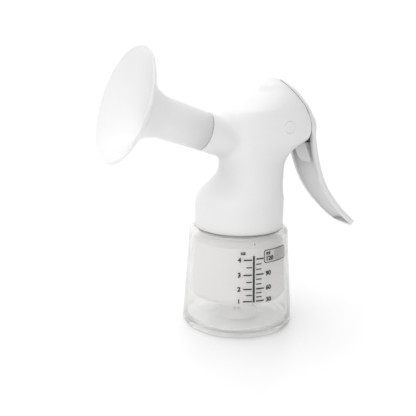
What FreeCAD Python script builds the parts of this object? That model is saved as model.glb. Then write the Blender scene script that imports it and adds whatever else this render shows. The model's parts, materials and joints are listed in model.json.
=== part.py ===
import FreeCAD, Part
import math
import os

# A hand-worked breast pump on a wide-neck feeding bottle, in millimetres.
# Origin: centre of the bottle's foot.  +Z up, -X towards the funnel, +X towards the lever.
# Every piece is symmetric about the XZ plane, except the screw thread.

V = FreeCAD.Vector
MERGE = 1e-6                  # points closer than this are one
WIDE = 60.0                   # half length of a cutting form that has to reach past everything

# ---- driving dimensions -------------------------------------------------------------

# bottle
BOTTLE_FOOT_R = 38.6          # outer cone radius carried down to z = 0
BOTTLE_SHOULDER_R = 34.1      # outer cone radius at the shoulder
SHOULDER_Z = 65.4             # top of the straight cone
SHOULDER_ROUND = 3.5
FOOT_ROUND = 2.6
BOTTLE_WALL = 1.8
FOOT_RING_WIDTH = 5.0
FOOT_RECESS = 1.6             # how far the base stands above the foot ring
FLOOR_THICKNESS = 2.4
FLOOR_BOSS_R = 5.0
FLOOR_BEVEL = 4.0             # slope between the floor and the wall, inwards
FLOOR_BEVEL_HEIGHT = 5.0
FOOT_RING_BEVEL = 1.0
SHOULDER_INSIDE = 1.5         # how far the inside's slope starts below the shoulder
SHOULDER_DRAFT = 1.0          # extra wall under the shoulder, where it turns
NECK_DRAFT = 1.4              # and where it meets the neck's bore
VENT_R = 1.1
VENT_CIRCLE_R = 11.0
VENT_COUNT = 3
VENT_DISC_R = 14.5
VENT_DISC_THICKNESS = 0.9
VENT_STUD_R = 2.6
VENT_STUD_HEIGHT = 3.0
VENT_STUD_FIT = 0.1
NECK_R = 26.2
NECK_WALL = 2.0
NECK_TOP_Z = 84.0

# screw thread between bottle and head
THREAD_LEAD = 6.0
THREAD_HEIGHT = 1.3
THREAD_WIDTH = 2.0
THREAD_TURNS = 1.1
THREAD_START_Z = 73.4
THREAD_SINK = 0.4             # how far the ridge's root reaches into the wall
THREAD_TIP_SHARE = 0.6        # width at the ridge's tip over its width at the root

# silicone bag inside the bottle
BAG_WALL = 0.9
BAG_GAP = 1.5                 # between bag and bottle wall
BAG_NECK_GAP = 0.3
BAG_FLOOR_Z = 20.9
BAG_ROUND = 5.0
BAG_RIM_THICKNESS = 1.0
BAG_RIM_INSET = 0.4           # bag's rim inside the neck's edge
BAG_SHOULDER_DROP = 5.0       # bag's shoulder below the bottle's
BAG_NECK_DROP = 0.5           # foot of the bag's neck below the bottle's shoulder
BAG_SKEW = 0.2                # how much lower the inside turns, for an even wall

# pump head
COLLAR_WALL = 2.4
COLLAR_PLAY = 0.6             # between the neck's thread and the collar's bore
COLLAR_R = NECK_R + THREAD_HEIGHT + COLLAR_PLAY + COLLAR_WALL
COLLAR_BOTTOM_Z = 69.2
HEAD_WALL = 2.0
RIDGE_DROP = 1.6              # how much lower the cavity's roof stands than the ridge
DECK_THICKNESS = 2.4
MIDDLE_SINK = 0.6             # how far the inner walls' limit reaches into the deck
SEAL_THICKNESS = 1.4
SEAL_WIDTH = 3.6
SEAL_OVERHANG = 0.6           # past the neck's edge
SEAL_GAP = 0.05

# funnel axis: from a point on the bottle's axis, tilted up towards -X
AXIS_Z = 125.1
AXIS_TILT = math.radians(18.98)
MOUTH_DISTANCE = 89.3
MOUTH_R = 37.3
MOUTH_BEAD_R = 1.0
FUNNEL_WALL = 1.6
BELL_ANGLE = 58.0             # of the bell's wall to the axis, in degrees
BELL_ROUND = 24.0             # outer round from the tube into the bell
TUBE_FLARE = 0.025            # growth of the tube's radius towards the bell
TUBE_END_R = 12.6
TUBE_END_ROUND = 1.1
TUNNEL_R = 10.6
SOCKET_FACE = 30.5            # end of the funnel, along its axis from the bottle's axis
SPIGOT_LENGTH = 6.0
SPIGOT_R = 10.8
SPIGOT_FIT = 0.08
SOCKET_R = 12.8
SOCKET_BLEND = 0.6 * SOCKET_R  # round where the socket grows out of the head
CHANNEL_R = 8.3
CHANNEL_BACK = 9.0            # how far the channel runs past the bottle's axis
DROP_R = 6.3                  # bore that leads milk down to the valve
DROP_WALL = 2.0
DROP_BOTTOM_Z = 80.0

# valve
VALVE_WALL = 1.5
VALVE_SKIRT_BOTTOM_Z = 76.0
VALVE_OVERLAP = 1.0            # how far the lips' part reaches up into the skirt
VALVE_STEP = 0.2               # how much slimmer it is there
VALVE_TIP_Z = 62.0
VALVE_FLANGE_R = 12.2
VALVE_FLANGE_THICKNESS = 1.4
LIP_HALF_LENGTH = 8.0
LIP_HALF_THICKNESS = 1.5
SLIT_HALF_LENGTH = 6.4
SLIT_HALF_THICKNESS = 0.4

# diaphragm and its pull stem, on an axis square to the funnel's
STEM_BACK = 2.1               # stem axis behind the bottle's axis, along the funnel's axis
SEAT_HEIGHT = 12.4            # diaphragm seat above the funnel's axis
CUP_R = 13.4
CUP_WALL = 1.7
CHAMBER_DEPTH = 3.0
PORT_R = 5.0
DIAPHRAGM_THICKNESS = 1.5
CONVOLUTION_R = CUP_R - 4.0
CONVOLUTION_HALF_WIDTH = 1.9
CONVOLUTION_HEIGHT = 2.6
SKIN_THICKNESS = 0.9
RING_WALL = 1.6
RING_LIP = 1.5
RING_DEPTH = 4.3
STEM_R = 2.2
STEM_FOOT_R = CONVOLUTION_R - 3.4
STEM_FOOT_THICKNESS = 1.2
WASHER_R = CONVOLUTION_R - 3.0
WASHER_THICKNESS = 1.3
CLIP_R = 3.8
CLIP_THICKNESS = 0.8
EYE_HALF_LENGTH = 3.9
EYE_HALF_HEIGHT = 2.8
EYE_HALF_THICKNESS = 3.6
LINK_HEIGHT = 20.0            # link pin above the funnel's axis
LINK_PIN_R = 1.5
LINK_PLAY = 0.12              # between link pin and slot, along the stem
LINK_SIDEWAYS = 1.1           # extra slot length each way, for the pin's arc

# pivot
PIVOT_X = 26.0
PIVOT_Z = 137.0
PIN_R = 2.0
PIN_HALF_LENGTH = 17.6
BUSH_R = 3.0
BUSH_FIT = 0.05
BUSH_LENGTH = 6.0
HUB_R = 4.6
HUB_HALF_LENGTH = 13.0
BOSS_R = 5.2
BOSS_GAP = 0.4
CAP_R = 4.0
CAP_FACE_Y = 20.2
CAP_DEPTH = 1.9
CAP_RECESS_FIT = 0.08

# seam between head and lever
SEAM_R = 20.5
SEAM_GAP = 0.5
SEAM_TOP = (24.5, 169.5)
SEAM_LOW_ANGLE = -62.0        # degrees about the pivot
APRON_WALL = 1.8
APRON_GAP = 0.6
APRON_FROM = 36.0             # degrees about the pivot
APRON_TO = 100.0

# lever
LEVER_WALL = 2.6
TIP_R = 11.4
WEB_HALF_THICKNESS = 3.5
WEB_HALF_HEIGHT = 3.0         # at the pivot
WEB_BOTTOM_Z = 125.0          # where the web meets the skin
WEB_TOP_Z = 138.5
TAB_TOP = (48.5, 124.0)       # inner edge of the tab, from here
TAB_FOOT = (57.0, 106.0)      # towards here
FORK_INNER_Y = 4.4
FORK_OUTER_Y = 7.4
FORK_HALF_HEIGHT = 2.6
TAB_HALF_WIDTH = 7.3
TAB_BOTTOM_Z = 109.2
TAB_CORNER = 4.0

# Horizontal sections of the head's outer form: height, centre x, half length in x,
# half width in y, and the exponent of the superellipse (2 is an ellipse).
HEAD_SECTIONS = [
    (COLLAR_BOTTOM_Z, 0.0, COLLAR_R, COLLAR_R, 2.0),
    (76.0, 0.0, COLLAR_R, COLLAR_R, 2.0),
    (83.0, 0.0, COLLAR_R, COLLAR_R, 2.0),
    (88.0, 0.3, COLLAR_R - 0.3, COLLAR_R - 0.4, 2.0),
    (93.0, 1.5, COLLAR_R - 1.8, COLLAR_R - 2.0, 2.0),
    (100.0, 5.7, 24.9, 24.8, 2.0),
    (107.0, 8.6, 23.0, 22.0, 2.0),
    (113.8, 9.9, 24.2, 20.5, 2.0),
    (120.0, 12.4, 27.4, 20.0, 2.1),
    (125.0, 17.0, 32.0, 20.0, 2.2),
    (130.0, 22.2, 37.4, 20.0, 2.3),
    (135.0, 22.0, 37.2, 20.0, 2.4),
    (140.0, 21.0, 36.8, 19.7, 2.4),
    (145.0, 20.3, 34.4, 19.0, 2.4),
    (150.0, 24.9, 26.5, 18.0, 2.3),
    (154.0, 26.9, 20.9, 16.6, 2.2),
    (158.0, 27.9, 16.3, 14.6, 2.1),
    (162.0, 27.7, 12.1, 11.8, 2.0),
    (165.0, 26.7, 8.5, 8.9, 2.0),
    (167.5, 25.6, 4.6, 5.4, 2.0),
    (168.8, 25.1, 1.6, 1.9, 2.0),
]

# Sections of the lever below the dome: x and z of the inner edge, tilt of the outward
# normal that the section lies along (degrees above +X), half width, depth, exponent.
TONGUE_SECTIONS = [
    (49.8, 124.0, 7.0, 14.7, 10.2, 1.85),
    (51.6, 117.0, 12.0, 14.4, 9.4, 2.0),
    (54.3, 109.0, 17.0, 14.0, 8.6, 2.1),
    (58.8, 97.8, 25.0, 13.5, 8.1, 2.2),
    (65.8, 86.4, 36.0, 12.8, 7.4, 2.3),
    (76.2, 74.7, 43.5, 12.2, 6.5, 2.4),
    (86.6, 65.2, 48.0, 11.8, 5.9, 2.4),
    (93.6, 59.8, 51.0, 11.6, 5.5, 2.4),
    (98.6, 56.4, 55.0, 11.4, 3.4, 2.4),
]
DOME_EDGES = [(130.0, 48.4), (135.0, 46.2), (140.0, 43.0), (145.0, 40.0), (150.0, 36.0),
              (154.0, 32.0), (158.0, 29.0), (162.0, 26.0), (165.0, 24.0), (167.5, 22.5)]

# ---- values worked out from them ------------------------------------------------------

DECK_BOTTOM_Z = NECK_TOP_Z + BAG_RIM_THICKNESS + SEAL_GAP + SEAL_THICKNESS
DECK_TOP_Z = DECK_BOTTOM_Z + DECK_THICKNESS
COLLAR_BORE_R = COLLAR_R - COLLAR_WALL
NECK_BORE_R = NECK_R - NECK_WALL
FLOOR_BOTTOM_Z = FOOT_RECESS
FLOOR_TOP_Z = FLOOR_BOTTOM_Z + FLOOR_THICKNESS
DROP_OUTER_R = DROP_R + DROP_WALL
CONE_SLOPE = (BOTTLE_FOOT_R - BOTTLE_SHOULDER_R) / SHOULDER_Z

OUT = V(-math.cos(AXIS_TILT), 0, math.sin(AXIS_TILT))     # out of the funnel's mouth
UP = V(math.sin(AXIS_TILT), 0, math.cos(AXIS_TILT))       # along the stem
AXIS_POINT = V(0, 0, AXIS_Z)
PIVOT = V(PIVOT_X, 0, PIVOT_Z)


# ---- helpers --------------------------------------------------------------------------

def rod(start, direction, length, radius):
    """Solid cylinder from a point along a direction."""
    return Part.makeCylinder(radius, length, start, direction)


def tube(start, direction, length, outer, inner):
    """Hollow cylinder from a point along a direction."""
    return rod(start, direction, length, outer).cut(rod(start, direction, length, inner))


def pin_y(centre, radius, y_from, y_to):
    """Cylinder along Y through a point of the XZ plane."""
    return rod(V(centre.x, y_from, centre.z), V(0, 1, 0), y_to - y_from, radius)


def on_axis(out, up=0.0):
    """Point of the XZ plane, measured along the funnel's axis and square to it."""
    return AXIS_POINT + OUT * out + UP * up


def polygon(points):
    """Closed wire of straight edges."""
    return Part.makePolygon(points + [points[0]])


def arc_points(centre_r, centre_h, radius, start_deg, end_deg):
    """First, middle and last (radius, height) point of an arc."""
    points = []
    for degrees in (start_deg, (start_deg + end_deg) / 2, end_deg):
        angle = math.radians(degrees)
        points.append((centre_r + radius * math.cos(angle), centre_h + radius * math.sin(angle)))
    return points


def revolve(profile, start=V(0, 0, 0), direction=V(0, 0, 1)):
    """Solid of revolution about a direction from start.

    The profile's items are (radius, height) points, and lists that each stand for an arc.
    """
    runs = [[V(r, 0, h) for r, h in (item if isinstance(item, list) else [item])]
            for item in profile]
    edges = []
    for run, following in zip(runs, runs[1:] + runs[:1]):
        if len(run) > 1:
            edges.append(Part.Arc(*run).toShape())
        if run[-1].distanceToPoint(following[0]) > MERGE:
            edges.append(Part.makeLine(run[-1], following[0]))
    solid = Part.Face(Part.Wire(edges)).revolve(V(0, 0, 0), V(0, 0, 1), 360)
    solid.Placement = FreeCAD.Placement(start, FreeCAD.Rotation(V(0, 0, 1), direction))
    return solid


def plate(points, y_from, y_to):
    """Prism along Y of an outline given as (x, z) points."""
    face = Part.Face(polygon([V(x, y_from, z) for x, z in points]))
    return face.extrude(V(0, y_to - y_from, 0))


def super_point(a, b, p, angle):
    """Point at an angle parameter of a superellipse with half axes a and b."""
    c, s = math.cos(angle), math.sin(angle)
    x = a * math.copysign(abs(c) ** (2.0 / p), c)
    y = b * math.copysign(abs(s) ** (2.0 / p), s)
    return x, y


def smooth_edge(points, closed=False):
    """Curve through the points."""
    curve = Part.BSplineCurve()
    if closed:
        curve.interpolate(points, PeriodicFlag=True)
    else:
        curve.interpolate(points)
    return curve.toShape()


def ring_wire(z, x0, a, b, p, count=24):
    """Closed horizontal superellipse."""
    points = []
    for i in range(count):
        x, y = super_point(a, b, p, 2 * math.pi * i / count)
        points.append(V(x0 + x, y, z))
    return Part.Wire(smooth_edge(points, closed=True))


def loft(wires):
    """Smooth solid through the wires."""
    return Part.makeLoft(wires, True, False)


def fuse(first, *others):
    """Union of solids with merged faces."""
    return first.multiFuse(list(others)).removeSplitter()


# ---- bottle ---------------------------------------------------------------------------

def cone_r(z):
    """Outer radius of the bottle's straight cone at a height."""
    return BOTTLE_FOOT_R - CONE_SLOPE * z


def thread(root_r, outward, start_z):
    """Helical ridge on a wall of the given radius; outward is +1 on a neck, -1 in a bore."""
    half = THREAD_WIDTH / 2
    tip_half = half * THREAD_TIP_SHARE
    helix = Part.makeHelix(THREAD_LEAD, THREAD_LEAD * THREAD_TURNS, root_r)
    inner = root_r - outward * THREAD_SINK
    tip = root_r + outward * THREAD_HEIGHT
    ridge = polygon([V(inner, 0, -half), V(tip, 0, -tip_half), V(tip, 0, tip_half),
                     V(inner, 0, half)])
    solid = Part.Wire(helix).makePipeShell([ridge], True, True)
    solid.translate(V(0, 0, start_z))
    return solid


def bottle():
    """Rigid bottle with a foot ring, a vented floor and a threaded neck."""
    outer_shoulder = BOTTLE_SHOULDER_R - SHOULDER_ROUND
    shoulder_top = SHOULDER_Z + SHOULDER_ROUND
    foot_r = cone_r(FOOT_ROUND) - FOOT_ROUND
    bevel_top = FLOOR_TOP_Z + FLOOR_BEVEL_HEIGHT
    profile = [
        (0, FLOOR_BOTTOM_Z),
        (foot_r - FOOT_RING_WIDTH, FLOOR_BOTTOM_Z),
        (foot_r - FOOT_RING_WIDTH + FOOT_RING_BEVEL, 0),
        arc_points(foot_r, FOOT_ROUND, FOOT_ROUND, -90, 0),
        (BOTTLE_SHOULDER_R, SHOULDER_Z),
        arc_points(outer_shoulder, SHOULDER_Z, SHOULDER_ROUND, 0, 90),
        (NECK_R, shoulder_top),
        (NECK_R, NECK_TOP_Z),
        (NECK_BORE_R, NECK_TOP_Z),
        (NECK_BORE_R, shoulder_top - BOTTLE_WALL - NECK_DRAFT),
        (outer_shoulder, shoulder_top - BOTTLE_WALL - SHOULDER_DRAFT),
        (BOTTLE_SHOULDER_R - BOTTLE_WALL, SHOULDER_Z - SHOULDER_INSIDE),
        (cone_r(bevel_top) - BOTTLE_WALL, bevel_top),
        (cone_r(FLOOR_TOP_Z) - BOTTLE_WALL - FLOOR_BEVEL, FLOOR_TOP_Z),
        (0, FLOOR_TOP_Z),
    ]
    body = revolve(profile)
    boss = rod(V(0, 0, 0), V(0, 0, 1), FLOOR_TOP_Z, FLOOR_BOSS_R)
    stud = rod(V(0, 0, 0), V(0, 0, 1), FLOOR_TOP_Z + VENT_STUD_HEIGHT, VENT_STUD_R)
    body = fuse(body, boss, stud, thread(NECK_R, 1, THREAD_START_Z))
    for i in range(VENT_COUNT):
        angle = 2 * math.pi * i / VENT_COUNT
        centre = V(VENT_CIRCLE_R * math.cos(angle), VENT_CIRCLE_R * math.sin(angle), 0)
        body = body.cut(rod(centre, V(0, 0, 1), FLOOR_TOP_Z + 1, VENT_R))
    return body


def vent_disc():
    """Soft flap over the vent holes, held by a stud in its middle."""
    return tube(V(0, 0, FLOOR_TOP_Z), V(0, 0, 1), VENT_DISC_THICKNESS, VENT_DISC_R,
                VENT_STUD_R + VENT_STUD_FIT)


def inner_bag():
    """Soft bag that hangs in the bottle by a rim on the neck."""
    gap = BOTTLE_WALL + BAG_GAP
    neck = NECK_BORE_R - BAG_NECK_GAP
    shoulder = BOTTLE_SHOULDER_R - gap
    rim_top = NECK_TOP_Z + BAG_RIM_THICKNESS
    rim_r = NECK_R - BAG_RIM_INSET
    low = BAG_FLOOR_Z + BAG_ROUND
    corner = cone_r(low) - gap - BAG_ROUND
    t = BAG_WALL
    outside = [
        (0, BAG_FLOOR_Z),
        arc_points(corner, low, BAG_ROUND, -90, 0),
        (shoulder, SHOULDER_Z - BAG_SHOULDER_DROP),
        (neck, SHOULDER_Z - BAG_NECK_DROP),
        (neck, NECK_TOP_Z),
        (rim_r, NECK_TOP_Z),
        (rim_r, rim_top),
        (neck - t, rim_top),
        (neck - t, SHOULDER_Z - BAG_NECK_DROP - BAG_SKEW),
        (shoulder - t, SHOULDER_Z - BAG_SHOULDER_DROP - BAG_SKEW),
        arc_points(corner, low, BAG_ROUND - t, 0, -90),
        (0, BAG_FLOOR_Z + t),
    ]
    return revolve(outside)


def neck_seal():
    """Flat ring between the bag's rim and the head's deck."""
    inner = NECK_R - SEAL_WIDTH
    z = NECK_TOP_Z + BAG_RIM_THICKNESS + SEAL_GAP
    return tube(V(0, 0, z), V(0, 0, 1), SEAL_THICKNESS, NECK_R + SEAL_OVERHANG, inner)


# ---- pump head --------------------------------------------------------------------------

def head_form(inset=0.0, bottom=None):
    """Outer form of the head as one solid, or the same form stepped in by a wall.

    The stepped form starts at the height given as bottom and has a lower roof.
    """
    wires = []
    drop = RIDGE_DROP * inset / HEAD_WALL
    for z, x0, a, b, p in HEAD_SECTIONS:
        if bottom is None:
            height = z
        else:
            height = z - drop * min(max((z - 135.0) / 10.0, 0.0), 1.0)
        if bottom is not None and (z < bottom - 1.5 or a < inset + 2.0):
            continue
        if bottom is not None and not wires:
            height = bottom
        wires.append(ring_wire(height, x0, a - inset, b - inset, p))
    return loft(wires)


def about_pivot(radius, degrees):
    """(x, z) at a radius and angle about the pivot, in the XZ plane."""
    angle = math.radians(degrees)
    return PIVOT_X + radius * math.cos(angle), PIVOT_Z + radius * math.sin(angle)


def seam_edges(offset):
    """Seam line in the XZ plane, shifted towards the lever by offset: arc, then tangent."""
    radius = SEAM_R + offset
    dx, dz = SEAM_TOP[0] - PIVOT_X, SEAM_TOP[1] - PIVOT_Z
    reach = math.hypot(dx, dz)
    touch = math.degrees(math.atan2(dz, dx) - math.acos(SEAM_R / reach))
    ux, uz = -math.sin(math.radians(touch)), math.cos(math.radians(touch))
    tangent = about_pivot(radius, touch)
    top = (tangent[0] + ux * WIDE, tangent[1] + uz * WIDE)
    return radius, touch, tangent, top


def front_of_seam():
    """Prism that holds everything on the funnel's side of the seam."""
    radius, touch, tangent, top = seam_edges(0.0)
    low = about_pivot(radius, SEAM_LOW_ANGLE)
    middle = about_pivot(radius, (touch + SEAM_LOW_ANGLE) / 2)
    floor = COLLAR_BOTTOM_Z - 1
    arc = Part.Arc(V(low[0], -WIDE, low[1]), V(middle[0], -WIDE, middle[1]),
                   V(tangent[0], -WIDE, tangent[1])).toShape()
    corners = [tangent, top, (-WIDE, top[1]), (-WIDE, floor), (low[0] + WIDE, floor),
               (low[0] + WIDE, low[1]), low]
    edges = [arc]
    for (xa, za), (xb, zb) in zip(corners, corners[1:]):
        edges.append(Part.makeLine(V(xa, -WIDE, za), V(xb, -WIDE, zb)))
    face = Part.Face(Part.Wire(Part.__sortEdges__(edges)))
    return face.extrude(V(0, 2 * WIDE, 0))


def inside_seam(offset):
    """Prism of the seam's front side that ends below the dome, to trim the lever with."""
    radius, _, tangent, top = seam_edges(offset)
    upper = plate([(PIVOT_X, PIVOT_Z), tangent, top, (-WIDE, top[1]), (-WIDE, PIVOT_Z)],
                  -WIDE, WIDE)
    return pin_y(PIVOT, radius, -WIDE, WIDE).fuse(upper)


def sector(inner, outer, from_deg, to_deg, half_width):
    """Piece of a tube about the pivot's axis, between two angles."""
    points = []
    steps = 12
    for i in range(steps + 1):
        angle = from_deg + (to_deg - from_deg) * i / steps
        points.append(about_pivot(outer + 4.0, angle))
    wedge = plate([(PIVOT_X, PIVOT_Z)] + points, -half_width, half_width)
    wall = tube(V(PIVOT_X, -half_width, PIVOT_Z), V(0, 1, 0), 2 * half_width, outer, inner)
    return wall.common(wedge)


def head_outside():
    """Outer form of the head with its funnel socket, blended where they meet."""
    body = head_form().fuse(rod(on_axis(0), OUT, SOCKET_FACE, SOCKET_R))
    socket = [face for face in body.Faces
              if isinstance(face.Surface, Part.Cylinder)
              and abs(face.Surface.Radius - SOCKET_R) < MERGE]
    shared = [edge for edge in socket[0].Edges
              for face in body.Faces if isinstance(face.Surface, Part.BSplineSurface)
              for other in face.Edges if edge.isSame(other)]
    return body.makeFillet(SOCKET_BLEND, shared)


def pump_body():
    """Head moulding: collar, neck, funnel socket, milk channel, chamber cup and cheeks."""
    middle = head_form(HEAD_WALL / 2, DECK_TOP_Z - MIDDLE_SINK)
    body = head_outside().cut(head_form(HEAD_WALL, DECK_TOP_Z))
    body = body.cut(rod(V(0, 0, COLLAR_BOTTOM_Z - 1), V(0, 0, 1),
                        DECK_BOTTOM_Z - COLLAR_BOTTOM_Z + 1, COLLAR_BORE_R))

    channel_tube = rod(on_axis(-CHANNEL_BACK - 2.0), OUT,
                       CHANNEL_BACK + 2.0 + SOCKET_FACE + SPIGOT_LENGTH, SPIGOT_R)
    drop_tube = rod(V(0, 0, DROP_BOTTOM_Z), V(0, 0, 1), AXIS_Z - DROP_BOTTOM_Z, DROP_OUTER_R)
    cup = rod(on_axis(-STEM_BACK, 4.0), UP, SEAT_HEIGHT - 4.0, CUP_R)
    apron = sector(SEAM_R - APRON_GAP - APRON_WALL, SEAM_R - APRON_GAP, APRON_FROM, APRON_TO, 30.0)
    inner_parts = [channel_tube, drop_tube, cup, apron.common(middle)]
    for side in (-1, 1):
        y0, y1 = sorted((side * (HUB_HALF_LENGTH + BOSS_GAP), side * 30.0))
        inner_parts.append(pin_y(PIVOT, BOSS_R, y0, y1).common(middle))
    for piece in inner_parts:
        body = body.fuse(piece)

    channel = rod(on_axis(-CHANNEL_BACK), OUT, CHANNEL_BACK + SOCKET_FACE + SPIGOT_LENGTH + 1,
                  CHANNEL_R)
    bore = rod(V(0, 0, DROP_BOTTOM_Z - 1), V(0, 0, 1), AXIS_Z - DROP_BOTTOM_Z + 1, DROP_R)
    chamber = rod(on_axis(-STEM_BACK, SEAT_HEIGHT - CHAMBER_DEPTH), UP, CHAMBER_DEPTH + 1,
                  CUP_R - CUP_WALL)
    port = rod(on_axis(-STEM_BACK, 0), UP, SEAT_HEIGHT, PORT_R)
    for hollow in (channel, bore, chamber, port, pin_y(PIVOT, PIN_R, -30, 30)):
        body = body.cut(hollow)
    body = body.common(front_of_seam())
    for side in (-1, 1):
        y0, y1 = sorted((side * (CAP_FACE_Y - CAP_DEPTH), side * 30.0))
        body = body.cut(pin_y(PIVOT, CAP_R + CAP_RECESS_FIT, y0, y1))
    ridge = thread(COLLAR_BORE_R, -1, THREAD_START_Z - THREAD_LEAD / 2)
    return body.fuse(ridge)


def duckbill_valve():
    """Soft valve: a skirt on the drop tube, a flange, and two lips that meet in a slit."""
    inner = DROP_OUTER_R
    outer = inner + VALVE_WALL
    skirt = rod(V(0, 0, VALVE_SKIRT_BOTTOM_Z), V(0, 0, 1), DECK_BOTTOM_Z - VALVE_SKIRT_BOTTOM_Z,
                outer)
    flange = rod(V(0, 0, DECK_BOTTOM_Z - VALVE_FLANGE_THICKNESS), V(0, 0, 1),
                 VALVE_FLANGE_THICKNESS, VALVE_FLANGE_R)
    low = VALVE_SKIRT_BOTTOM_Z + VALVE_OVERLAP
    bill = loft([ring_wire(VALVE_TIP_Z, 0, LIP_HALF_THICKNESS, LIP_HALF_LENGTH, 2.0),
                 ring_wire(low, 0, outer - VALVE_STEP, outer - VALVE_STEP, 2.0)])
    hollow = loft([ring_wire(VALVE_TIP_Z, 0, SLIT_HALF_THICKNESS, SLIT_HALF_LENGTH, 2.0),
                   ring_wire(low, 0, inner - VALVE_STEP, inner - VALVE_STEP, 2.0)])
    bore = rod(V(0, 0, VALVE_SKIRT_BOTTOM_Z), V(0, 0, 1), 20.0, inner)
    return fuse(bill, skirt, flange).cut(hollow).cut(bore)


# ---- diaphragm group ----------------------------------------------------------------------

def diaphragm():
    """Round silicone diaphragm with a clamped rim, one convolution and a centre pad."""
    t = SKIN_THICKNESS
    top = DIAPHRAGM_THICKNESS
    rise = CONVOLUTION_HEIGHT
    inside = CONVOLUTION_R - CONVOLUTION_HALF_WIDTH
    outside = CONVOLUTION_R + CONVOLUTION_HALF_WIDTH
    rim = CUP_R - CUP_WALL
    profile = [(STEM_R, 0), (inside + t, 0), (CONVOLUTION_R, rise - t), (outside - t, 0),
               (CUP_R, 0), (CUP_R, top), (rim, top), (outside, t), (CONVOLUTION_R, rise),
               (inside, t), (inside - 0.6, top), (STEM_R, top)]
    return revolve(profile, on_axis(-STEM_BACK, SEAT_HEIGHT), UP)


def diaphragm_ring():
    """Snap ring that clamps the diaphragm's rim onto the chamber cup."""
    inner = CUP_R
    lip = CUP_R - CUP_WALL
    outer = CUP_R + RING_WALL
    top = DIAPHRAGM_THICKNESS + RING_LIP
    profile = [(inner, top - RING_DEPTH), (outer, top - RING_DEPTH), (outer, top), (lip, top),
               (lip, DIAPHRAGM_THICKNESS), (inner, DIAPHRAGM_THICKNESS)]
    return revolve(profile, on_axis(-STEM_BACK, SEAT_HEIGHT), UP)


def stem():
    """Pull stem: foot under the diaphragm, shank, and a slotted eye for the link pin."""
    base = SEAT_HEIGHT - STEM_FOOT_THICKNESS
    eye_bottom = LINK_HEIGHT - EYE_HALF_HEIGHT
    foot = rod(on_axis(-STEM_BACK, base), UP, STEM_FOOT_THICKNESS, STEM_FOOT_R)
    shank = rod(on_axis(-STEM_BACK, base), UP, eye_bottom - base + 1, STEM_R)
    straight = EYE_HALF_LENGTH - EYE_HALF_HEIGHT
    eye = along_box(-STEM_BACK, LINK_HEIGHT, straight, EYE_HALF_HEIGHT, EYE_HALF_THICKNESS)
    for side in (-1, 1):
        end = on_axis(-STEM_BACK + side * straight, LINK_HEIGHT)
        eye = eye.fuse(pin_y(end, EYE_HALF_HEIGHT, -EYE_HALF_THICKNESS, EYE_HALF_THICKNESS))
    slot = along_box(-STEM_BACK, LINK_HEIGHT, LINK_PIN_R + LINK_SIDEWAYS, LINK_PIN_R + LINK_PLAY,
                     EYE_HALF_THICKNESS + 1)
    return fuse(foot, shank, eye).cut(slot)


def along_box(out, up, half_out, half_up, half_y):
    """Box square to the stem, centred on a point of the XZ plane."""
    box = Part.makeBox(2 * half_out, 2 * half_y, 2 * half_up, V(-half_out, -half_y, -half_up))
    box.Placement = FreeCAD.Placement(on_axis(out, up), FreeCAD.Rotation(V(0, 0, 1), UP))
    return box


def stem_washer():
    """Washer above the diaphragm's centre pad."""
    return tube(on_axis(-STEM_BACK, SEAT_HEIGHT + DIAPHRAGM_THICKNESS), UP, WASHER_THICKNESS,
                WASHER_R, STEM_R)


def stem_clip():
    """Clip that holds the washer down on the stem."""
    height = SEAT_HEIGHT + DIAPHRAGM_THICKNESS + WASHER_THICKNESS
    return tube(on_axis(-STEM_BACK, height), UP, CLIP_THICKNESS, CLIP_R, STEM_R)


# ---- pivot ----------------------------------------------------------------------------------

def pivot_pin():
    """Steel pin through the cheeks and the lever arm's hub."""
    return pin_y(PIVOT, PIN_R, -PIN_HALF_LENGTH, PIN_HALF_LENGTH)


def pivot_cap(side):
    """Shallow round cap over the pin's end, in a recess of the cheek."""
    inner = side * (CAP_FACE_Y - CAP_DEPTH)
    outer = side * CAP_FACE_Y
    cap = pin_y(PIVOT, CAP_R, min(inner, outer), max(inner, outer))
    rim = [e for e in cap.Edges if abs(e.BoundBox.YMin - outer) < 1e-6 and e.BoundBox.YLength < 1e-6]
    return cap.makeFillet(0.5, rim)


def pivot_bush(side):
    """Plain bush in one end of the hub."""
    start = side * HUB_HALF_LENGTH
    end = side * (HUB_HALF_LENGTH - BUSH_LENGTH)
    low, high = min(start, end), max(start, end)
    outer = pin_y(PIVOT, BUSH_R, low, high)
    return outer.cut(pin_y(PIVOT, PIN_R + BUSH_FIT, low, high))


# ---- lever ----------------------------------------------------------------------------------

def lever_rows():
    """Sections of the lever from crown to tip.

    Each is (edge x, edge z, tilt, offset of the superellipse's centre behind the edge,
    depth half axis, width half axis, exponent).
    """
    form = {row[0]: row for row in HEAD_SECTIONS}
    rows = []
    for z, edge in reversed(DOME_EDGES):
        _, x0, a, b, p = form[z]
        rows.append((edge, z, 0.0, edge - x0, a, b, p))
    for x, z, tilt, half_width, depth, p in TONGUE_SECTIONS:
        rows.append((x, z, tilt, 0.0, depth, half_width, p))
    return rows


def lever_wire(row, inset, leg, count=10):
    """Closed section: an arc over the back, and straight legs to the open side."""
    x, z, tilt, offset, a, b, p = row
    a, b = a - inset, b - inset
    share = max(-0.98, min(0.98, offset / a))
    limit = math.acos(math.copysign(abs(share) ** (p / 2.0), share))
    angle = math.radians(tilt)
    normal = V(math.cos(angle), 0, math.sin(angle))
    edge = V(x, 0, z)
    points = []
    for i in range(count + 1):
        u, w = super_point(a, b, p, limit * (2.0 * i / count - 1.0))
        points.append(edge + normal * (u - offset) + V(0, w, 0))
    edges = [smooth_edge(points)]
    corners = [points[-1], points[-1] - normal * leg, points[0] - normal * leg, points[0]]
    if leg == 0:
        corners = [points[-1], points[0]]
    for start, end in zip(corners, corners[1:]):
        edges.append(Part.makeLine(start, end))
    return Part.Wire(edges)


def lever_outer():
    """Lever's outer form, filled."""
    return loft([lever_wire(row, 0.0, 0) for row in lever_rows()])


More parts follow.
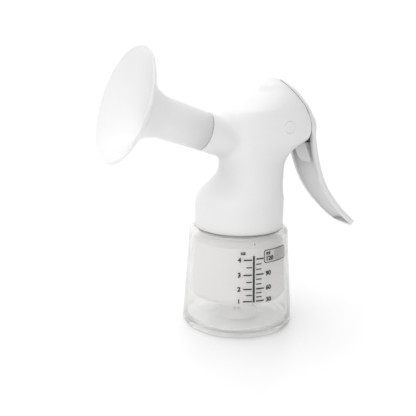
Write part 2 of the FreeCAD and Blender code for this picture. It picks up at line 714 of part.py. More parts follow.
def lever_hollow():
    """Space inside the lever's skin, open towards the bottle."""
    rows = lever_rows()[2:-1]
    return loft([lever_wire(row, LEVER_WALL, 4.0) for row in rows])


def tip_trim():
    """Corners outside the rounded end of the tongue."""
    x, z, tilt = TONGUE_SECTIONS[-1][:3]
    angle = math.radians(tilt)
    normal = V(math.cos(angle), 0, math.sin(angle))
    back = V(-math.sin(angle), 0, math.cos(angle))
    centre = V(x, 0, z) + back * TIP_R
    block = Part.makeBox(2 * TIP_R, 4 * TIP_R, 2 * WIDE, V(0, -2 * TIP_R, -WIDE))
    block = block.cut(Part.makeCylinder(TIP_R, 2 * WIDE, V(0, 0, -WIDE)))
    turn = FreeCAD.Rotation(-back, V(0, 1, 0), normal, "XYZ")
    block.Placement = FreeCAD.Placement(centre, turn)
    return block


def lever_shell():
    """Outer skin of the lever, from the dome's back down to the flared tip."""
    shell = lever_outer().cut(lever_hollow())
    shell = shell.cut(inside_seam(SEAM_GAP))
    return shell.cut(tip_trim())


def tab_block():
    """Prism along X of the rounded tab inside the lever."""
    r = TAB_CORNER
    w = TAB_HALF_WIDTH
    z = TAB_BOTTOM_Z
    top = PIVOT_Z
    x = 40.0
    diagonal = r * (1 - math.sqrt(0.5))
    edges = [
        Part.makeLine(V(x, -w, top), V(x, -w, z + r)),
        Part.Arc(V(x, -w, z + r), V(x, -w + diagonal, z + diagonal), V(x, -w + r, z)).toShape(),
        Part.makeLine(V(x, -w + r, z), V(x, w - r, z)),
        Part.Arc(V(x, w - r, z), V(x, w - diagonal, z + diagonal), V(x, w, z + r)).toShape(),
        Part.makeLine(V(x, w, z + r), V(x, w, top)),
        Part.makeLine(V(x, w, top), V(x, -w, top)),
    ]
    return Part.Face(Part.Wire(edges)).extrude(V(40.0, 0, 0))


def lever_arm():
    """Carrier inside the lever: hub on the pivot, fork to the stem, web and rounded tab."""
    hub = pin_y(PIVOT, HUB_R, -HUB_HALF_LENGTH, HUB_HALF_LENGTH)
    hollow = lever_hollow()
    w = WEB_HALF_THICKNESS
    joint_x = TAB_TOP[0]
    far_x = joint_x + 40.0
    near = plate([(PIVOT_X, PIVOT_Z + WEB_HALF_HEIGHT), (PIVOT_X, PIVOT_Z - WEB_HALF_HEIGHT),
                  (joint_x, WEB_BOTTOM_Z), (joint_x, WEB_TOP_Z)], -w, w)
    far = plate([(joint_x, TAB_TOP[1]), (far_x, TAB_TOP[1]), (far_x, WEB_TOP_Z),
                 (joint_x, WEB_TOP_Z)], -w, w).common(hollow)
    inner_edge = plate([TAB_TOP, TAB_FOOT, (far_x, TAB_FOOT[1]), (far_x, TAB_TOP[1])], -20, 20)
    tab = tab_block().common(hollow).common(inner_edge)
    link = on_axis(-STEM_BACK, LINK_HEIGHT)
    arms = []
    for side in (-1, 1):
        y0, y1 = sorted((side * FORK_INNER_Y, side * FORK_OUTER_Y))
        ux, uz = (link.x - PIVOT_X), (link.z - PIVOT_Z)
        length = math.hypot(ux, uz)
        nx, nz = -uz / length * FORK_HALF_HEIGHT, ux / length * FORK_HALF_HEIGHT
        bar = plate([(PIVOT_X + nx, PIVOT_Z + nz), (link.x + nx, link.z + nz),
                     (link.x - nx, link.z - nz), (PIVOT_X - nx, PIVOT_Z - nz)], y0, y1)
        end = pin_y(link, FORK_HALF_HEIGHT, y0, y1)
        arms += [bar, end]
    arm = fuse(hub, near, far, tab, *arms)
    arm = arm.cut(pin_y(link, LINK_PIN_R, -20, 20))
    arm = arm.cut(pin_y(PIVOT, PIN_R + 0.6, -20, 20))
    for side in (-1, 1):
        y0, y1 = sorted((side * (HUB_HALF_LENGTH - BUSH_LENGTH), side * 20))
        arm = arm.cut(pin_y(PIVOT, BUSH_R, y0, y1))
    return arm


def link_pin():
    """Pin across the fork, through the stem's slot."""
    return pin_y(on_axis(-STEM_BACK, LINK_HEIGHT), LINK_PIN_R, -FORK_OUTER_Y, FORK_OUTER_Y)


# ---- funnel -----------------------------------------------------------------------------------

def bell_arc(radius, foot, slope, rim):
    """Arc tangent to the tube's wall and to the bell's wall.

    The tube's wall goes through foot with a slope, the bell's through rim at its angle.
    """
    flare, bell = math.atan(slope), math.radians(BELL_ANGLE)
    tube_line = foot[0] - slope * foot[1] + radius / math.cos(flare)
    bell_line = rim[0] - math.tan(bell) * rim[1] + radius / math.cos(bell)
    centre_h = (tube_line - bell_line) / (math.tan(bell) - slope)
    centre_r = tube_line + slope * centre_h
    return arc_points(centre_r, centre_h, radius, 180 - math.degrees(flare), 180 - BELL_ANGLE)


def funnel():
    """Soft funnel in one piece: beaded bell, throat and the sleeve that fits the spigot."""
    bell = math.radians(BELL_ANGLE)
    bead_r = MOUTH_R - MOUTH_BEAD_R
    bead_out = MOUTH_DISTANCE - MOUTH_BEAD_R
    half = FUNNEL_WALL / 2
    outer_rim = (bead_r + half * math.cos(bell), bead_out - half * math.sin(bell))
    inner_rim = (bead_r - half * math.cos(bell), bead_out + half * math.sin(bell))
    spigot_end = SOCKET_FACE + SPIGOT_LENGTH
    sleeve_r = SPIGOT_R + SPIGOT_FIT
    inner_arc = bell_arc(BELL_ROUND + FUNNEL_WALL, (TUNNEL_R, spigot_end), 0.0, inner_rim)
    outline = [
        (sleeve_r, SOCKET_FACE),
        arc_points(TUBE_END_R - TUBE_END_ROUND, SOCKET_FACE + TUBE_END_ROUND, TUBE_END_ROUND,
                   -90, 0),
        bell_arc(BELL_ROUND, (TUBE_END_R, SOCKET_FACE + TUBE_END_ROUND), TUBE_FLARE, outer_rim),
        outer_rim,
        inner_rim,
        inner_arc[::-1],
        (TUNNEL_R, spigot_end),
        (sleeve_r, spigot_end),
    ]
    bead = Part.makeTorus(bead_r, MOUTH_BEAD_R, on_axis(bead_out), OUT)
    return fuse(revolve(outline, AXIS_POINT, OUT), bead)


def main():
    os.makedirs("parts", exist_ok=True)
    pieces = {
        "bottle": bottle(),
        "vent_disc": vent_disc(),
        "inner_bag": inner_bag(),
        "neck_seal": neck_seal(),
        "pump_body": pump_body(),
        "duckbill_valve": duckbill_valve(),
        "diaphragm": diaphragm(),
        "diaphragm_ring": diaphragm_ring(),
        "stem": stem(),
        "stem_washer": stem_washer(),
        "stem_clip": stem_clip(),
        "pivot_pin": pivot_pin(),
        "pivot_cap_left": pivot_cap(-1),
        "pivot_cap_right": pivot_cap(1),
        "pivot_bush_left": pivot_bush(-1),
        "pivot_bush_right": pivot_bush(1),
        "lever_shell": lever_shell(),
        "lever_arm": lever_arm(),
        "link_pin": link_pin(),
        "funnel": funnel(),
    }
    for name, shape in pieces.items():
        print(name, shape.ShapeType, len(shape.Solids), round(shape.Volume), shape.isValid())
        shape.exportStep("parts/" + name + ".step")


main()
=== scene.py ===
import json
import math

import bmesh
import bpy
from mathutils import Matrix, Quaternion, Vector

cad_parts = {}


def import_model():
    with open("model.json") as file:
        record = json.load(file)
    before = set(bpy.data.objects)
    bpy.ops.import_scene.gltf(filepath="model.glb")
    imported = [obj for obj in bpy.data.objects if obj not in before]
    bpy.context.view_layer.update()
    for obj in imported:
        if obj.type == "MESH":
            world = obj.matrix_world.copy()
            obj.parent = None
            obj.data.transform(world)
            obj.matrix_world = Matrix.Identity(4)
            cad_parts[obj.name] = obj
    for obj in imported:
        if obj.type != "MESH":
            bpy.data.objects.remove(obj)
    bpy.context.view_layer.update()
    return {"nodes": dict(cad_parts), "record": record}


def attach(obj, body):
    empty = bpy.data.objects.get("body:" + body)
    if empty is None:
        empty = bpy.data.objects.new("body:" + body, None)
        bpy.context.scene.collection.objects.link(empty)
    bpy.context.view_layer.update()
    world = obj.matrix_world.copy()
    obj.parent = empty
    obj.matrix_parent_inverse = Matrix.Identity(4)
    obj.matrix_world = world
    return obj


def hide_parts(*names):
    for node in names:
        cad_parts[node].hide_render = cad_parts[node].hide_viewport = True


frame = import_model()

# A hand-worked breast pump on its bottle. Metres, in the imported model's frame.

NODES = frame["nodes"]
MM = 0.001

# ---- bottle, in millimetres ------------------------------------------------------------------

FOOT_R = 38.6                 # outer cone carried down to z = 0
SHOULDER_R = 34.1
SHOULDER_Z = 65.4
SHOULDER_ROUND = 3.5
FOOT_ROUND = 2.6
WALL = 1.8
NECK_R = 26.2
NECK_BORE_R = 24.2
NECK_TOP = 84.0
RECESS = 1.6                  # the base stands this far above the foot ring
RECESS_IN = 5.0               # the recess ends this far inwards of the foot round's centre
RECESS_EDGE = (0.3, 0.2)      # small bevel at the recess's edge, outwards and down
RING_ROUND = 0.5              # inner edge of the foot ring
RING_ROUND_IN = 3.5
CONE_ROWS = range(8, 65, 8)   # heights of the mesh rows on the cone
NECK_FILLET = 0.6
RIM_ROUND = 0.4
BORE_END = ((0.0, 1.8), (0.4, 1.2))   # outwards from the bore, down from the shoulder's inside
SHOULDER_INSIDE = 1.0         # the inner round's centre lies this far in and down
SHOULDER_INSIDE_ROUND = 2.7
FLOOR_ROUND = 4.5
FLOOR_ROUND_TOP = 5.0         # height above the floor at which that round meets the cone
FLOOR_TOP = 4.0
STUD_R = 2.6
STUD_TOP = 7.0
STUD_EDGE = 0.4
LATHE_STEPS = 144
THREAD_LEAD = 6.0
THREAD_START = 73.4
THREAD_TURNS = 1.1
THREAD_STEPS = 90
THREAD_SECTION = ((-0.4, -1.0), (1.3, -0.6), (1.3, 0.6), (-0.4, 1.0))
THREAD_FADE = 8.0             # share of its height gained over share of its length, from an end
THREAD_END = 0.15             # share of its height at the very ends
SHARP_ANGLE = math.radians(40.0)

# ---- camera ----------------------------------------------------------------------------------

CAMERA_AT = Vector((-0.2333, -0.3689, 0.1880))
CAMERA_LOOK = Vector((0.478, 0.845, -0.240))
CAMERA_ROLL = math.radians(0.70)
CAMERA_LENS = 56.25           # millimetres
CAMERA_SENSOR = 36.0          # millimetres
CAMERA_NEAR = 0.01

# ---- stage and light -------------------------------------------------------------------------

FLOOR_HALF = 40.0
FLOOR_DROP = 0.0001           # keeps the floor's face clear of the foot's
# name, place, the point it faces, diameter, watts
LAMPS = (
    ("key", (-0.75, -0.65, 0.85), (0.0, 0.0, 0.11), 0.7, 1.1),
    ("top", (-0.1, 0.25, 0.9), (0.0, 0.0, 0.1), 0.6, 0.5),
)
# direction, cosines between which the room's strength changes, and the strengths there
ROOM_SIDE = ((0.79, -0.59, -0.15), (0.0, 0.9), (1.2, 0.34))
ROOM_BEHIND = ((-0.93, 0.35, 0.05), (0.86, 0.97), (1.0, 0.3))
CLEAR_WALLS = 16              # see-through faces that a light path may cross

# ---- materials -------------------------------------------------------------------------------

# Noise stays within about 0.3 to 0.7, which the drifts below are spread from.
NOISE_RANGE = (0.3, 0.7)
TINT_STOPS = (0.35, 0.65)     # noise values at which the two tints are pure
TINT_SCALE = 14.0
GLOSS_SCALE = 60.0
GLOSS_SPREAD = (0.85, 1.2)    # roughness drifts between these shares of its value
GRAIN_DETAIL = 5.0
HOLLOW_SAMPLES = 8

# ---- printed scale ---------------------------------------------------------------------------
# Places are an angle about the bottle's axis, in degrees from +X, and a height in metres.

INK_LIFT = 0.00004            # ink's inner face above the bottle's surface
INK_THICKNESS = 0.00006
BAR_ANGLE = 255.2
BAR_WIDTH = 2.1
BAR_LOW, BAR_HIGH = 0.0254, 0.0568
TICK_HEIGHT = 0.0009
MINOR_HEIGHT = 0.0007
LEFT_TICKS = (244.0, 253.2)   # outer and inner end of a long tick
LEFT_MINOR = 247.0
RIGHT_TICKS = (266.6, 257.8)
RIGHT_MINOR = 263.9
OUNCES = ((4, 0.0541), (3, 0.0440), (2, 0.0345), (1, 0.0262))
MILLILITRES = ((120, 0.0546), (90, 0.0442), (60, 0.0345), (30, 0.0262))
NUMERAL_LEFT = 239.6
NUMERAL_RIGHT = 272.4
NUMERAL_SIZE = 0.0042
UNIT_SIZE = 0.0034
NUMERAL_WEIGHT = 0.045        # how far a glyph's outline is pushed out, over its size
MILLILITRE_SHIFT = (0.0, -0.0001)       # numeral against its tick, in degrees and metres
TOP_MILLILITRE_SHIFT = (2.0, -0.0006)   # the same for the top numeral, which has three digits
UNITS = (("unit_left", "oz", 243.2, 0.0588), ("unit_right", "ml", 272.6, 0.0577))
BAR_STEPS = 12
FRAME_ANGLES = (267.0, 301.0)
FRAME_HEIGHTS = (0.0512, 0.0600)
FRAME_SPLIT = 281.5
FRAME_LINE = 0.0005
FRAME_ROUND = 0.0016
FRAME_CORNER_STEPS = 6
HATCH_ROWS = 9
HATCH_MARGIN = 0.0010         # between the frame's edge and the first row
HATCH_END = 1.6               # degrees left free at the frame's right end
HATCH_SHORTER = 1.2           # degrees less at each end of the first and last row
HATCH_HALF = 0.00028          # half a row's thickness
MARK_ANGLE = 256.0            # small alignment mark under the collar
MARK_HALF_ANGLE = 0.6
MARK_HEIGHTS = (0.0634, 0.0653)


# ---- material helpers ------------------------------------------------------------------------

class Shader:
    """Node tree of one material, with short calls for the nodes that the materials share."""

    def __init__(self, name, rough, **values):
        self.material = bpy.data.materials.new(name)
        self.material.use_nodes = True
        self.tree = self.material.node_tree
        self.shader = self.tree.nodes["Principled BSDF"]
        self.shader.inputs["Roughness"].default_value = rough
        self.shader.inputs["Subsurface Radius"].default_value = (1.0, 1.0, 1.0)
        for socket, value in values.items():
            self.shader.inputs[socket.replace("_", " ")].default_value = value
        self.place = self.add("ShaderNodeTexCoord").outputs["Object"]

    def add(self, kind, **inputs):
        """New node with some of its input values set."""
        node = self.tree.nodes.new(kind)
        for socket, value in inputs.items():
            node.inputs[socket.replace("_", " ")].default_value = value
        return node

    def link(self, source, target):
        self.tree.links.new(source, target)

    def noise(self, scale, detail=3.0):
        """Noise value over the object."""
        node = self.add("ShaderNodeTexNoise", Scale=scale, Detail=detail)
        self.link(self.place, node.inputs["Vector"])
        return node.outputs["Fac"]

    def remap(self, source, low, high):
        """Noise spread over a new range."""
        first, last = NOISE_RANGE
        node = self.add("ShaderNodeMapRange", From_Min=first, From_Max=last,
                        To_Min=low, To_Max=high)
        self.link(source, node.inputs["Value"])
        return node.outputs["Result"]

    def colour(self, source, first, second):
        """Base colour that drifts between two tints."""
        ramp = self.add("ShaderNodeValToRGB")
        for stop, place, tint in zip(ramp.color_ramp.elements, TINT_STOPS, (first, second)):
            stop.position = place
            stop.color = (*tint, 1.0)
        self.link(source, ramp.inputs["Fac"])
        self.link(ramp.outputs["Color"], self.shader.inputs["Base Color"])

    def shade_hollows(self, reach, share):
        """Paints shade into the base colour in folds and hollows, by share at the most."""
        # painted shade: the occlusion node darkens the colour where other surfaces are near
        hollow = self.add("ShaderNodeAmbientOcclusion", Distance=reach)
        hollow.samples = HOLLOW_SAMPLES
        base = self.shader.inputs["Base Color"]
        tint = base.links[0].from_socket
        mix = self.add("ShaderNodeMix")
        mix.data_type = "RGBA"      # its colours are inputs 6 and 7 and output 2
        mix.inputs[0].default_value = share
        self.link(tint, hollow.inputs["Color"])
        self.link(tint, mix.inputs[6])
        self.link(hollow.outputs["Color"], mix.inputs[7])
        self.link(mix.outputs[2], base)

    def gloss(self, source, low, high):
        """Roughness that drifts between two values."""
        self.link(self.remap(source, low, high), self.shader.inputs["Roughness"])

    def bump(self, source, distance):
        """Small relief from a value."""
        node = self.add("ShaderNodeBump", Strength=1.0, Distance=distance)
        self.link(source, node.inputs["Height"])
        self.link(node.outputs["Normal"], self.shader.inputs["Normal"])

    def let_light_through(self, tint):
        """Lets light reach what is inside, in place of a black shadow."""
        path = self.add("ShaderNodeLightPath")
        clear = self.add("ShaderNodeBsdfTransparent")
        clear.inputs["Color"].default_value = (*tint, 1.0)
        mix = self.add("ShaderNodeMixShader")
        output = self.tree.nodes["Material Output"]
        self.link(path.outputs["Is Shadow Ray"], mix.inputs["Fac"])
        self.link(self.shader.outputs["BSDF"], mix.inputs[1])
        self.link(clear.outputs["BSDF"], mix.inputs[2])
        self.link(mix.outputs["Shader"], output.inputs["Surface"])


def moulded(name, first, second, rough, grain, relief, **values):
    """Moulded plastic or silicone: drifting tint, drifting gloss and a fine skin."""
    s = Shader(name, rough, **values)
    s.colour(s.noise(TINT_SCALE), first, second)
    s.gloss(s.noise(GLOSS_SCALE), *(rough * share for share in GLOSS_SPREAD))
    s.bump(s.noise(grain, GRAIN_DETAIL), relief)
    return s


def white_plastic():
    s = moulded("white_plastic", (0.79, 0.79, 0.793), (0.82, 0.82, 0.822), rough=0.38,
                grain=1400.0, relief=0.00002, Subsurface_Weight=0.08, Subsurface_Scale=0.002,
                Specular_IOR_Level=0.4)
    # painted shade in the white plastic's folds and hollows, at most 35 percent darker
    s.shade_hollows(reach=0.03, share=0.35)
    return s.material


def lever_plastic():
    s = moulded("lever_plastic", (0.78, 0.78, 0.784), (0.815, 0.815, 0.818), rough=0.34,
                grain=1400.0, relief=0.00002, Specular_IOR_Level=0.4)
    # painted shade, stronger here, darkens the inside of the lever's hollow
    s.shade_hollows(reach=0.03, share=0.6)
    return s.material


def cap_plastic():
    return moulded("cap_plastic", (0.76, 0.76, 0.763), (0.79, 0.79, 0.793), rough=0.3,
                   grain=900.0, relief=0.00002, Specular_IOR_Level=0.5).material


def bush_plastic():
    return moulded("bush_plastic", (0.78, 0.77, 0.72), (0.84, 0.83, 0.79), rough=0.42,
                   grain=700.0, relief=0.00003, Specular_IOR_Level=0.4).material


def bottle_plastic():
    """Clear plastic of the bottle's wall."""
    s = moulded("bottle_plastic", (0.94, 0.938, 0.935), (0.955, 0.953, 0.95), rough=0.12,
                grain=240.0, relief=0.00001, Transmission_Weight=0.78, IOR=1.3,
                Specular_IOR_Level=0.7)
    s.let_light_through((0.95, 0.95, 0.95))
    return s.material


def bag_silicone():
    return moulded("bag_silicone", (0.855, 0.844, 0.817), (0.885, 0.875, 0.851), rough=0.42,
                   grain=300.0, relief=0.00003, Sheen_Weight=0.1).material


def seal_silicone():
    return moulded("seal_silicone", (0.84, 0.84, 0.83), (0.88, 0.88, 0.87), rough=0.45,
                   grain=500.0, relief=0.00003, Subsurface_Weight=0.2,
                   Subsurface_Scale=0.003).material


def valve_silicone():
    return moulded("valve_silicone", (0.86, 0.86, 0.85), (0.9, 0.9, 0.89), rough=0.4,
                   grain=500.0, relief=0.00003, Subsurface_Weight=0.25,
                   Subsurface_Scale=0.003).material


def funnel_silicone():
    """Milky clear silicone: part diffuse, part see-through, with a soft gloss."""
    s = moulded("funnel_silicone", (0.875, 0.875, 0.877), (0.9, 0.9, 0.902), rough=0.33,
                grain=500.0, relief=0.00001, Transmission_Weight=0.3, IOR=1.3,
                Subsurface_Weight=0.5, Subsurface_Scale=0.01)
    s.let_light_through((0.8, 0.8, 0.805))
    return s.material


def steel():
    """Ground stainless steel, with a very fine grain in its gloss and relief."""
    s = Shader("steel", 0.3, Metallic=1.0)
    grain = s.noise(2600.0, detail=2.0)
    s.colour(s.noise(80.0), (0.55, 0.55, 0.57), (0.68, 0.68, 0.7))
    s.gloss(grain, low=0.22, high=0.4)
    s.bump(grain, distance=0.00001)
    return s.material


def print_ink(name, first, second):
    """Scale print, a little uneven like screen ink."""
    s = Shader(name, 0.5)
    s.colour(s.noise(900.0), first, second)
    s.gloss(s.noise(1500.0), low=0.4, high=0.6)
    s.bump(s.noise(2500.0), distance=0.00001)
    return s.material


def dress_cad_nodes():
    """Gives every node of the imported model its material, by the record's slots."""
    makers = (white_plastic, lever_plastic, cap_plastic, bush_plastic, bottle_plastic,
              bag_silicone, seal_silicone, valve_silicone, funnel_silicone, steel)
    made = {make.__name__: make() for make in makers}
    for row in frame["record"]["subparts"]:
        node = NODES[row["node"]]
        for slot in node.material_slots:
            slot.material = made[row["material_slot"]]


# ---- bottle ----------------------------------------------------------------------------------

def corner_arc(centre_r, centre_z, radius, start, end, steps):
    """Points (radius, height) along an arc, in millimetres."""
    points = []
    for i in range(steps + 1):
        t = math.radians(start + (end - start) * i / steps)
        points.append((centre_r + radius * math.cos(t), centre_z + radius * math.sin(t)))
    return points


def cone_r(height):
    """Outer radius of the bottle's cone, in millimetres."""
    return FOOT_R - (FOOT_R - SHOULDER_R) / SHOULDER_Z * height


def bottle_profile():
    """Outline of the bottle's wall from the middle of its base round to its floor."""
    foot = cone_r(FOOT_ROUND) - FOOT_ROUND
    inside = cone_r(FLOOR_TOP + FLOOR_ROUND_TOP) - WALL
    top = SHOULDER_Z + SHOULDER_ROUND
    shoulder = SHOULDER_R - SHOULDER_ROUND
    recess_r = foot - RECESS_IN
    inner_r = shoulder - SHOULDER_INSIDE
    inner_z = SHOULDER_Z - SHOULDER_INSIDE
    rim = NECK_TOP - RIM_ROUND
    points = [(0.0, RECESS), (recess_r, RECESS)]
    points.append((recess_r + RECESS_EDGE[0], RECESS - RECESS_EDGE[1]))
    points += corner_arc(foot - RING_ROUND_IN, RING_ROUND, RING_ROUND, 215, 270, 3)
    points += corner_arc(foot, FOOT_ROUND, FOOT_ROUND, -90, 0, 10)
    points += [(cone_r(z), float(z)) for z in CONE_ROWS]
    points += corner_arc(shoulder, SHOULDER_Z, SHOULDER_ROUND, 0, 90, 12)
    points += corner_arc(NECK_R + NECK_FILLET, top + NECK_FILLET, NECK_FILLET, 270, 180, 4)
    points += corner_arc(NECK_R - RIM_ROUND, rim, RIM_ROUND, 0, 90, 4)
    points += corner_arc(NECK_BORE_R + RIM_ROUND, rim, RIM_ROUND, 90, 180, 4)
    points += [(NECK_BORE_R + out, top - WALL - down) for out, down in BORE_END]
    points += corner_arc(inner_r, inner_z, SHOULDER_INSIDE_ROUND, 84, 2, 8)
    points += [(cone_r(z) - WALL, float(z)) for z in reversed(CONE_ROWS[1:-1])]
    points += corner_arc(inside - FLOOR_ROUND, FLOOR_TOP + FLOOR_ROUND, FLOOR_ROUND, 0, -90, 10)
    points += [(STUD_R, FLOOR_TOP), (STUD_R, STUD_TOP - STUD_EDGE)]
    points += [(STUD_R - STUD_EDGE, STUD_TOP), (0.0, STUD_TOP)]
    return points


def lathe(profile, steps):
    """Closed mesh data of an outline that starts and ends on Z, turned about it."""
    vertices = [(0.0, 0.0, profile[0][1] * MM), (0.0, 0.0, profile[-1][1] * MM)]
    ring = profile[1:-1]
    for r, z in ring:
        for i in range(steps):
            t = 2 * math.pi * i / steps
            vertices.append((r * MM * math.cos(t), r * MM * math.sin(t), z * MM))
    faces = []
    last = 2 + (len(ring) - 1) * steps
    for i in range(steps):
        k = (i + 1) % steps
        faces.append((0, 2 + k, 2 + i))
        faces.append((1, last + i, last + k))
        for row in range(len(ring) - 1):
            a = 2 + row * steps
            b = a + steps
            faces.append((a + i, a + k, b + k, b + i))
    return vertices, faces


def helix(root, section, start, lead, turns, steps):
    """Closed mesh data of a ridge that winds round a neck, fading in and out at its ends."""
    vertices, faces = [], []
    count = len(section)
    for i in range(steps + 1):
        t = 2 * math.pi * turns * i / steps
        fade = min(1.0, THREAD_FADE * min(i, steps - i) / steps + THREAD_END)
        for out, up in section:
            r = root + (out * fade if out > 0 else out)
            z = start + lead * turns * i / steps + up * fade
            vertices.append((r * MM * math.cos(t), r * MM * math.sin(t), z * MM))
    for i in range(steps):
        for k in range(count):
            a, b = i * count + k, i * count + (k + 1) % count
            faces.append((a, a + count, b + count, b))
    faces.append(tuple(range(count)))
    faces.append(tuple(reversed(range(steps * count, (steps + 1) * count))))
    return vertices, faces


def mesh_object(name, vertices, faces, material):
    """Object with a mesh of its own and one material."""
    mesh = bpy.data.meshes.new(name)
    mesh.from_pydata(vertices, [], faces)
    mesh.update()
    mesh.materials.append(material)
    piece = bpy.data.objects.new(name, mesh)
    bpy.context.collection.objects.link(piece)
    return piece


def smooth_piece(name, vertices, faces, material):
    """Object with soft shading and outward faces that rides on the bottle."""
    piece = mesh_object(name, vertices, faces, material)
    form = bmesh.new()
    form.from_mesh(piece.data)
    bmesh.ops.recalc_face_normals(form, faces=form.faces)
    form.to_mesh(piece.data)
    form.free()
    piece.data.shade_smooth()
    piece.data.set_sharp_from_angle(angle=SHARP_ANGLE)
    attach(piece, "bottle")
    return piece


def clear_bottle():
    """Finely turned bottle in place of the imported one, with its neck thread."""
    clear = NODES["bottle"].material_slots[0].material
    body = smooth_piece("bottle_body", *lathe(bottle_profile(), LATHE_STEPS), clear)
    ridge = helix(NECK_R, THREAD_SECTION, THREAD_START, THREAD_LEAD, THREAD_TURNS, THREAD_STEPS)
    smooth_piece("bottle_thread", *ridge, clear)
    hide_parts("bottle")


# ---- print on the bottle ---------------------------------------------------------------------

def surface_radius(height):
    """Outer radius of the bottle's cone at a height, in metres."""
    return cone_r(height / MM) * MM


def on_bottle(degrees, height, lift):
    """Point above the bottle's surface."""
    radius = surface_radius(height) + lift
    angle = math.radians(degrees)
    return Vector((radius * math.cos(angle), radius * math.sin(angle), height))


def to_degrees(length, height):
    """Angle that a length along the bottle's surface covers."""
    return math.degrees(length / surface_radius(height))


def printed(name, vertices, faces, material):
    """Object of printed ink that rides on the bottle."""
    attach(mesh_object(name, vertices, faces, material), "bottle")


def band(outline_low, outline_high):
    """Closed thin slab between two rows of (degrees, height) points."""
    vertices, faces = [], []
    count = len(outline_low)
    for lift in (INK_LIFT, INK_LIFT + INK_THICKNESS):
        for row in (outline_low, outline_high):
            vertices += [on_bottle(a, h, lift) for a, h in row]
    under_low, under_high, top_low, top_high = (k * count for k in range(4))
    for i in range(count - 1):
        faces.append((under_low + i, under_high + i, under_high + i + 1, under_low + i + 1))
        faces.append((top_low + i, top_low + i + 1, top_high + i + 1, top_high + i))
        faces.append((under_low + i, under_low + i + 1, top_low + i + 1, top_low + i))
        faces.append((under_high + i, top_high + i, top_high + i + 1, under_high + i + 1))
    for i in (0, count - 1):
        faces.append((under_low + i, top_low + i, top_high + i, under_high + i))
    return vertices, faces


def join(parts):
    """One list of vertices and faces from several."""
    vertices, faces = [], []
    for more_vertices, more_faces in parts:
        base = len(vertices)
        vertices += more_vertices
        faces += [tuple(base + i for i in face) for face in more_faces]
    return vertices, faces


def patch(start, end, low, high):
    """Rectangle of ink that follows the bottle, between two angles and two heights."""
    steps = max(2, int(abs(end - start)) + 1)
    angles = [start + (end - start) * i / steps for i in range(steps + 1)]
    return band([(a, low) for a in angles], [(a, high) for a in angles])


def tick(ends, height, thickness):
    """Level stroke centred on a height."""
    return patch(min(ends), max(ends), height - thickness / 2, height + thickness / 2)


def midway(marks, shares):
    """Heights between neighbouring marks, at shares of the way."""
    heights = []
    for (_, high), (_, low) in zip(marks, marks[1:]):
        heights += [high + (low - high) * share for share in shares]
    return heights


def scale_lines(material):
    """Bar and ticks."""
    heights = [BAR_LOW + (BAR_HIGH - BAR_LOW) * i / BAR_STEPS for i in range(BAR_STEPS + 1)]
    edges = [[(BAR_ANGLE + side * BAR_WIDTH, h) for h in heights] for side in (-0.5, 0.5)]
    parts = [band(*edges)]
    parts += [tick(LEFT_TICKS, h, TICK_HEIGHT) for _, h in OUNCES]
    parts += [tick(RIGHT_TICKS, h, TICK_HEIGHT) for _, h in MILLILITRES]
    parts += [tick((LEFT_MINOR, LEFT_TICKS[1]), h, MINOR_HEIGHT)
              for h in midway(OUNCES, (0.5,))]
    parts += [tick((RIGHT_MINOR, RIGHT_TICKS[1]), h, MINOR_HEIGHT)
              for h in midway(MILLILITRES, (1 / 3, 2 / 3))]
    printed("scale_lines", *join(parts), material)


def lettering(name, text, degrees, height, size, material):
    """Numeral or unit wrapped round the bottle, centred on a place."""
    curve = bpy.data.curves.new(name, "FONT")
    curve.body = text
    curve.size = size
    curve.align_x = "CENTER"
    curve.align_y = "CENTER"
    curve.offset = size * NUMERAL_WEIGHT
    curve.extrude = INK_THICKNESS / 2
    curve.resolution_u = 4
    source = bpy.data.objects.new(name + "_source", curve)
    flat = bpy.data.meshes.new_from_object(source)
    vertices = []
    for v in flat.vertices:
        lift = INK_LIFT + INK_THICKNESS / 2 + v.co.z
        angle = degrees + to_degrees(v.co.x, height)
        vertices.append(on_bottle(angle, height + v.co.y, lift))
    faces = [tuple(p.vertices) for p in flat.polygons]
    bpy.data.objects.remove(source)
    printed(name, vertices, faces, material)


def rounded_loop():
    """Closed loop of (degrees, height) points round the unit frame."""
    left, right = FRAME_ANGLES
    low, high = FRAME_HEIGHTS
    turn = to_degrees(1.0, low)      # degrees for a metre along the surface
    points = []
    corners = ((right, high, 0), (left, high, 90), (left, low, 180), (right, low, 270))
    for angle, height, start in corners:
        side = 1 if angle == right else -1
        level = 1 if height == high else -1
        centre_a = angle - side * FRAME_ROUND * turn
        centre_h = height - level * FRAME_ROUND
        for i in range(FRAME_CORNER_STEPS + 1):
            t = math.radians(start + 90 * i / FRAME_CORNER_STEPS)
            points.append((centre_a + FRAME_ROUND * math.cos(t) * turn,
                           centre_h + FRAME_ROUND * math.sin(t)))
    fine = []
    for (a0, h0), (a1, h1) in zip(points, points[1:] + points[:1]):
        steps = max(1, int(abs(a1 - a0)))
        fine += [(a0 + (a1 - a0) * i / steps, h0 + (h1 - h0) * i / steps) for i in range(steps)]
    return fine


def unit_frame(material, pale):
    """Rounded frame round the top value, with a hatched end."""
    outer = rounded_loop()
    inner = []
    centre = (sum(FRAME_ANGLES) / 2, sum(FRAME_HEIGHTS) / 2)
    half_a = (FRAME_ANGLES[1] - FRAME_ANGLES[0]) / 2
    half_h = (FRAME_HEIGHTS[1] - FRAME_HEIGHTS[0]) / 2
    line_a = to_degrees(FRAME_LINE, centre[1])
    for a, h in outer:
        inner.append((centre[0] + (a - centre[0]) * (1 - line_a / half_a),
                      centre[1] + (h - centre[1]) * (1 - FRAME_LINE / half_h)))
    printed("unit_frame", *band(outer + outer[:1], inner + inner[:1]), material)
    low, high = FRAME_HEIGHTS
    hatch = []
    start, end = FRAME_SPLIT, FRAME_ANGLES[1] - HATCH_END
    for i in range(HATCH_ROWS):
        h = low + HATCH_MARGIN + (high - low - 2 * HATCH_MARGIN) * i / (HATCH_ROWS - 1)
        less = HATCH_SHORTER if i in (0, HATCH_ROWS - 1) else 0.0
        hatch.append(patch(start + less, end - less, h - HATCH_HALF, h + HATCH_HALF))
    printed("unit_hatch", *join(hatch), pale)


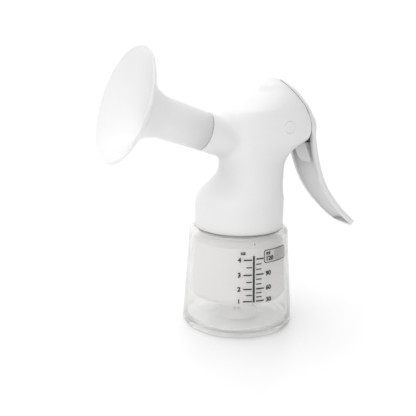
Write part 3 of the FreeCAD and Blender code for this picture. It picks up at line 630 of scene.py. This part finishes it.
def scale():
    """All that is printed on the bottle."""
    dark = print_ink("ink", (0.010, 0.010, 0.011), (0.02, 0.02, 0.021))
    scale_lines(dark)
    for value, height in OUNCES:
        lettering("ounce_%d" % value, str(value), NUMERAL_LEFT, height, NUMERAL_SIZE, dark)
    for value, height in MILLILITRES:
        top = value == MILLILITRES[0][0]
        turn, rise = TOP_MILLILITRE_SHIFT if top else MILLILITRE_SHIFT
        lettering("millilitre_%d" % value, str(value), NUMERAL_RIGHT + turn, height + rise,
                  NUMERAL_SIZE, dark)
    for name, text, degrees, height in UNITS:
        lettering(name, text, degrees, height, UNIT_SIZE, dark)
    pale = print_ink("grey_ink", (0.36, 0.36, 0.355), (0.44, 0.44, 0.435))
    unit_frame(dark, pale)
    mark = patch(MARK_ANGLE - MARK_HALF_ANGLE, MARK_ANGLE + MARK_HALF_ANGLE, *MARK_HEIGHTS)
    printed("alignment_mark", *mark, pale)


# ---- stage, light, camera --------------------------------------------------------------------

def stage():
    """Wide pale floor under the bottle."""
    s = Shader("floor_white", 0.35, Specular_IOR_Level=0.3)
    s.colour(s.noise(3.0), (0.955, 0.955, 0.955), (0.97, 0.97, 0.97))
    w, z = FLOOR_HALF, -FLOOR_DROP
    corners = [(-w, -w, z), (w, -w, z), (w, w, z), (-w, w, z)]
    mesh_object("floor", corners, [(0, 1, 2, 3)], s.material)


def area_light(name, place, target, size, power):
    light = bpy.data.lights.new(name, "AREA")
    light.shape = "DISK"
    light.size = size
    light.energy = power
    lamp = bpy.data.objects.new(name, light)
    bpy.context.collection.objects.link(lamp)
    lamp.location = place
    lamp.rotation_mode = "QUATERNION"
    lamp.rotation_quaternion = (Vector(target) - Vector(place)).to_track_quat("-Z", "Y")


def dim_towards(tree, direction, cosines, strengths):
    """Strength of the room that changes smoothly towards a direction."""
    coord = tree.nodes.new("ShaderNodeTexCoord")
    dot = tree.nodes.new("ShaderNodeVectorMath")
    dot.operation = "DOT_PRODUCT"
    dot.inputs[1].default_value = Vector(direction).normalized()
    spread = tree.nodes.new("ShaderNodeMapRange")
    spread.interpolation_type = "SMOOTHSTEP"
    spread.inputs["From Min"].default_value, spread.inputs["From Max"].default_value = cosines
    spread.inputs["To Min"].default_value, spread.inputs["To Max"].default_value = strengths
    tree.links.new(coord.outputs["Generated"], dot.inputs[0])
    tree.links.new(dot.outputs["Value"], spread.inputs["Value"])
    return spread.outputs["Result"]


def world():
    """White room, darker on the lever's side and in a patch behind, so that the shapes turn."""
    sky = bpy.data.worlds.new("room")
    sky.use_nodes = True
    bpy.context.scene.world = sky
    tree = sky.node_tree
    back = tree.nodes["Background"]
    side = dim_towards(tree, *ROOM_SIDE)
    behind = dim_towards(tree, *ROOM_BEHIND)
    product = tree.nodes.new("ShaderNodeMath")
    product.operation = "MULTIPLY"
    tree.links.new(side, product.inputs[0])
    tree.links.new(behind, product.inputs[1])
    tree.links.new(product.outputs["Value"], back.inputs["Strength"])
    back.inputs["Color"].default_value = (1.0, 1.0, 1.0, 1.0)


def lights():
    for lamp in LAMPS:
        area_light(*lamp)


def camera():
    data = bpy.data.cameras.new("camera")
    data.lens = CAMERA_LENS
    data.sensor_width = CAMERA_SENSOR
    data.clip_start = CAMERA_NEAR
    eye = bpy.data.objects.new("camera", data)
    bpy.context.collection.objects.link(eye)
    eye.location = CAMERA_AT
    eye.rotation_mode = "QUATERNION"
    roll = Quaternion((0.0, 0.0, 1.0), CAMERA_ROLL)
    eye.rotation_quaternion = CAMERA_LOOK.to_track_quat("-Z", "Y") @ roll
    bpy.context.scene.camera = eye


dress_cad_nodes()
clear_bottle()
scale()
stage()
world()
lights()
camera()
bpy.context.scene.view_settings.view_transform = "Standard"
bpy.context.scene.cycles.transparent_max_bounces = CLEAR_WALLS

bpy.context.view_layer.update()
